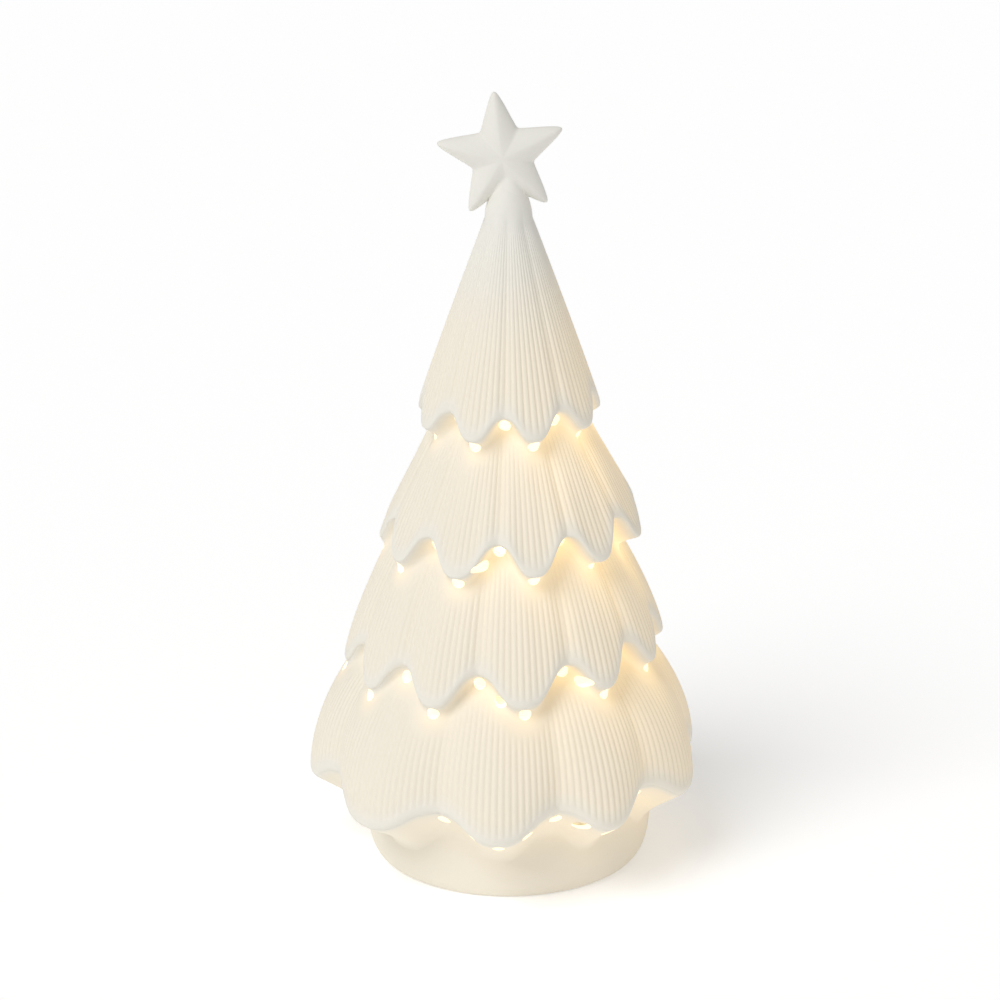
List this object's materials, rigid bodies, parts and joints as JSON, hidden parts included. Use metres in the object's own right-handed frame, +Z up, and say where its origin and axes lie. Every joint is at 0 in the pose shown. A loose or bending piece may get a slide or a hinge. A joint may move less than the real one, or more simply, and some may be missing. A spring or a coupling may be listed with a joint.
{
  "type": "lit ceramic tree",
  "caption": "Pierced porcelain fir tree with scalloped tiers and a star, lit from inside by a battery light unit with a hinged door and slide switch in its foot.",
  "frame": {"origin": "centre of the foot ring, on the surface the tree stands on", "axes": "+Z up the tree to the star, -Y the front that faces the camera, +X to the viewer's right"},
  "size_m": [0.1241, 0.1258, 0.2499],
  "materials": {
    "porcelain": "matte",
    "white_plastic": "matte",
    "black_plastic": "matte",
    "foam": "matte",
    "cell_wrap": "gloss",
    "contact_steel": "satin",
    "circuit_laminate": "satin",
    "led_lens": "gloss",
    "lead_insulation": "satin"
  },
  "bodies": {
    "tree": {"tree_shell": "porcelain", "foam_pads": "foam", "light_base": "white_plastic", "battery_1": "cell_wrap", "battery_2": "cell_wrap", "battery_3": "cell_wrap", "positive_terminal": "contact_steel", "negative_terminal": "contact_steel", "front_bridge": "contact_steel", "rear_bridge": "contact_steel", "circuit_board": "circuit_laminate", "board_screws": "contact_steel", "driver_chip": "black_plastic", "led_board": "circuit_laminate", "led_front_1": "led_lens", "led_front_2": "led_lens", "led_front_3": "led_lens", "led_front_4": "led_lens", "led_rear_1": "led_lens", "led_rear_2": "led_lens", "led_rear_3": "led_lens", "led_rear_4": "led_lens", "switch_body": "white_plastic", "switch_feed_lead": "lead_insulation", "switch_return_lead": "lead_insulation"},
    "door": {"battery_door": "white_plastic"},
    "knob": {"switch_knob": "black_plastic"}
  },
  "joints": [
    {"name": "door_hinge", "type": "hinge", "parent": "tree", "child": "door", "pos_m": [0, -0.02385, 0.003], "axis": [-1, 0, 0], "range_deg": [0, 75]},
    {"name": "switch_slide", "type": "slide", "parent": "tree", "child": "knob", "axis": [0, 1, 0], "range_m": [0, 0.003]}
  ]
}
